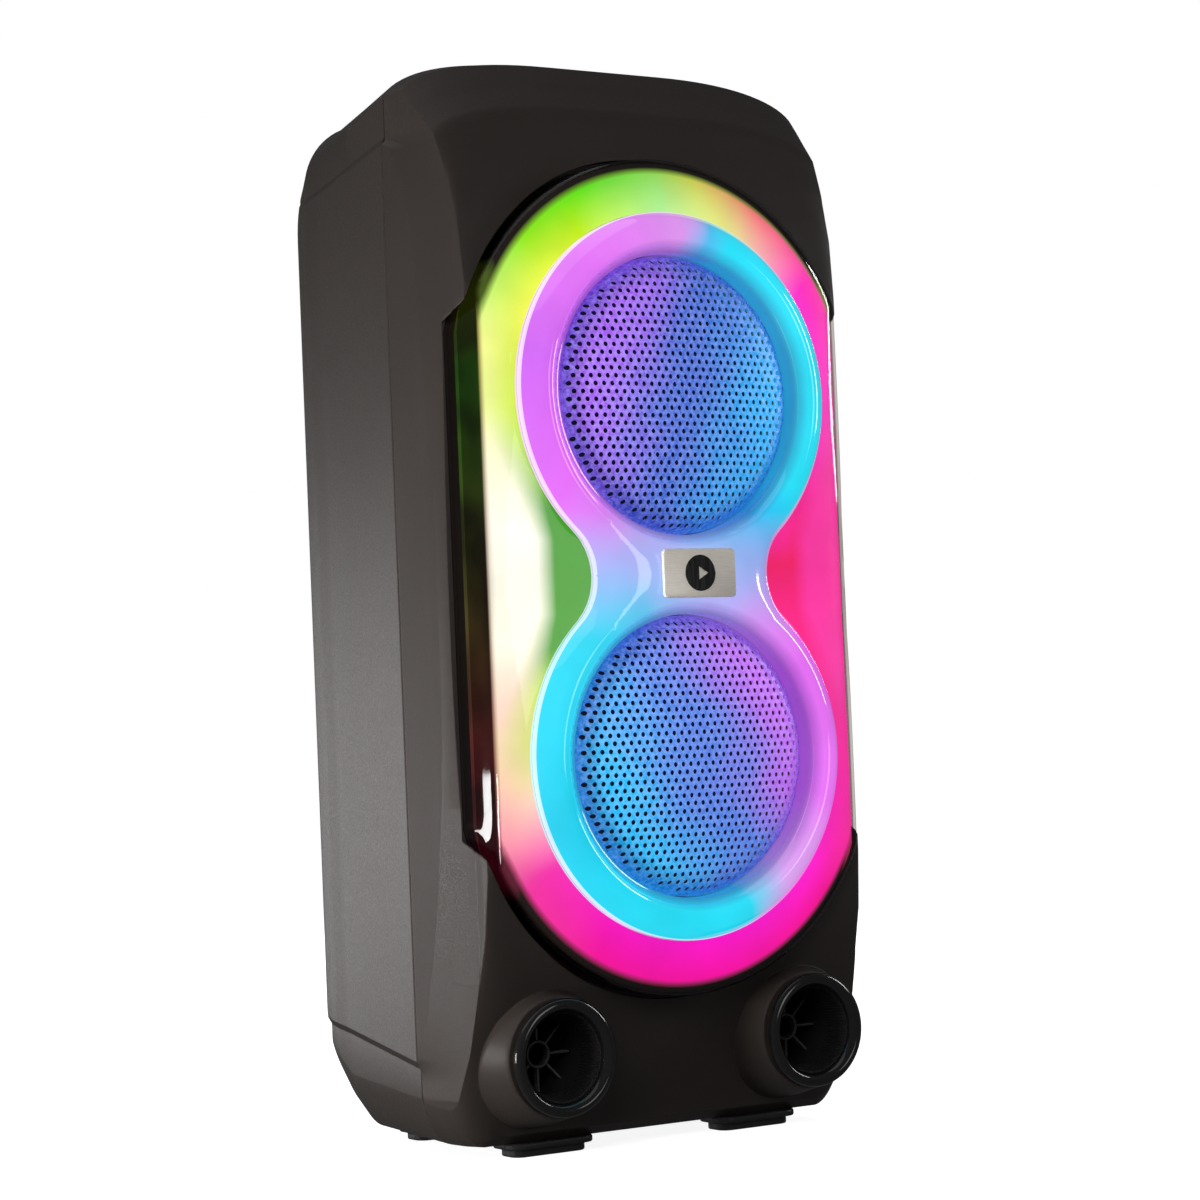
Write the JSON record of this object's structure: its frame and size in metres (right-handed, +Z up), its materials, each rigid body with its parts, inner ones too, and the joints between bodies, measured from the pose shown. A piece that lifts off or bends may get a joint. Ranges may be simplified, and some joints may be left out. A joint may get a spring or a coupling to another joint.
{
  "type": "party speaker",
  "caption": "Tall loudspeaker cabinet with stacked woofers behind bowed grilles, a glowing figure-eight bezel in a coloured light cover and protruding bass ports.",
  "frame": {"origin": "middle of the footprint, on the floor under the feet", "axes": "+Z up, the front and its grilles face -Y, +X to the right seen from the front"},
  "size_m": [0.272, 0.232, 0.6],
  "materials": {
    "charcoal_plastic": "fine textured, satin",
    "gasket_foam": "closed-cell foam",
    "clear_cover": "clear, lightly smoked, polished",
    "diffuser_plastic": "translucent, lit from behind",
    "circuit_board": "green board with parts",
    "bezel_plastic": "translucent, glossy, lit from behind",
    "grille_metal": "perforated sheet, satin",
    "badge_metal": "brushed",
    "badge_ink": "gloss black",
    "port_plastic": "satin",
    "ring_plastic": "polished black",
    "basket_steel": "black coated pressed steel",
    "surround_rubber": "matt",
    "cone_paper": "coated pulp",
    "coil_copper": "enamelled copper winding",
    "spider_cloth": "resin-treated cloth",
    "plated_steel": "zinc plated",
    "ferrite": "dark ground ferrite",
    "foot_rubber": "matt",
    "panel_plastic": "semi-gloss",
    "window_glass": "dark tinted window",
    "button_rubber": "soft touch",
    "jack_plastic": "black with hexagon nut",
    "socket_steel": "nickel plated shell",
    "rocker_plastic": "red",
    "knob_plastic": "fluted",
    "battery_wrap": "shrink wrap",
    "screw_steel": "black zinc"
  },
  "bodies": {
    "cabinet": {"front_housing": "charcoal_plastic", "rear_housing": "charcoal_plastic", "seam_gasket": "gasket_foam", "light_cover": "clear_cover", "light_diffuser": "diffuser_plastic", "light_board": "circuit_board", "figure8_bezel": "bezel_plastic", "upper_grille": "grille_metal", "lower_grille": "grille_metal", "badge_plate": "badge_metal", "badge_emblem": "badge_ink", "port_tube_left": "port_plastic", "port_tube_right": "port_plastic", "port_ring_left": "ring_plastic", "port_ring_right": "ring_plastic", "foot_front_left": "foot_rubber", "foot_front_right": "foot_rubber", "foot_rear_left": "foot_rubber", "foot_rear_right": "foot_rubber", "control_panel": "panel_plastic", "display_window": "window_glass", "control_board": "circuit_board", "input_panel": "panel_plastic", "mic_jack_left": "jack_plastic", "mic_jack_right": "jack_plastic", "aux_jack": "jack_plastic", "usb_socket": "socket_steel", "dc_inlet": "jack_plastic", "power_switch_bezel": "jack_plastic", "handle_cup": "charcoal_plastic", "amplifier_board": "circuit_board", "battery_pack": "battery_wrap", "housing_screws": "screw_steel", "woofer_screws": "screw_steel", "upper_basket": "basket_steel", "upper_surround": "surround_rubber", "upper_spider": "spider_cloth", "upper_top_plate": "plated_steel", "upper_magnet": "ferrite", "upper_yoke": "plated_steel", "lower_basket": "basket_steel", "lower_surround": "surround_rubber", "lower_spider": "spider_cloth", "lower_top_plate": "plated_steel", "lower_magnet": "ferrite", "lower_yoke": "plated_steel"},
    "upper_drive": {"upper_cone": "cone_paper", "upper_dust_cap": "cone_paper", "upper_voice_coil": "coil_copper"},
    "lower_drive": {"lower_cone": "cone_paper", "lower_dust_cap": "cone_paper", "lower_voice_coil": "coil_copper"},
    "rocker": {"power_rocker": "rocker_plastic"},
    "knob": {"volume_knob": "knob_plastic"},
    "key_power": {"button_power": "button_rubber"},
    "key_mode": {"button_mode": "button_rubber"},
    "key_previous": {"button_previous": "button_rubber"},
    "key_play": {"button_play": "button_rubber"},
    "key_next": {"button_next": "button_rubber"},
    "key_light": {"button_light": "button_rubber"}
  },
  "joints": [
    {"name": "upper_cone_travel", "type": "slide", "parent": "cabinet", "child": "upper_drive", "axis": [0, -1, 0], "range_m": [-0.004, 0.004], "stiffness_N_per_m": 2000, "deforming": ["upper_surround", "upper_spider"]},
    {"name": "lower_cone_travel", "type": "slide", "parent": "cabinet", "child": "lower_drive", "axis": [0, -1, 0], "range_m": [-0.004, 0.004], "stiffness_N_per_m": 2000, "deforming": ["lower_surround", "lower_spider"]},
    {"name": "power_press", "type": "slide", "parent": "cabinet", "child": "key_power", "axis": [0, -0.1191, -0.9929], "range_m": [0, 0.0009], "stiffness_N_per_m": 600},
    {"name": "mode_press", "type": "slide", "parent": "cabinet", "child": "key_mode", "axis": [0, -0.1191, -0.9929], "range_m": [0, 0.0009], "stiffness_N_per_m": 600},
    {"name": "previous_press", "type": "slide", "parent": "cabinet", "child": "key_previous", "axis": [0, -0.1191, -0.9929], "range_m": [0, 0.0009], "stiffness_N_per_m": 600},
    {"name": "play_press", "type": "slide", "parent": "cabinet", "child": "key_play", "axis": [0, -0.1191, -0.9929], "range_m": [0, 0.0009], "stiffness_N_per_m": 600},
    {"name": "next_press", "type": "slide", "parent": "cabinet", "child": "key_next", "axis": [0, -0.1191, -0.9929], "range_m": [0, 0.0009], "stiffness_N_per_m": 600},
    {"name": "light_press", "type": "slide", "parent": "cabinet", "child": "key_light", "axis": [0, -0.1191, -0.9929], "range_m": [0, 0.0009], "stiffness_N_per_m": 600},
    {"name": "rocker_tip", "type": "hinge", "parent": "cabinet", "child": "rocker", "pos_m": [-0.048, 0.096, 0.397], "axis": [0, 0, 1], "range_deg": [-16, 0]},
    {"name": "volume_turn", "type": "hinge", "parent": "cabinet", "child": "knob", "pos_m": [0.046, 0.098, 0.397], "axis": [0, 1, 0], "range_deg": [-150, 150]}
  ]
}
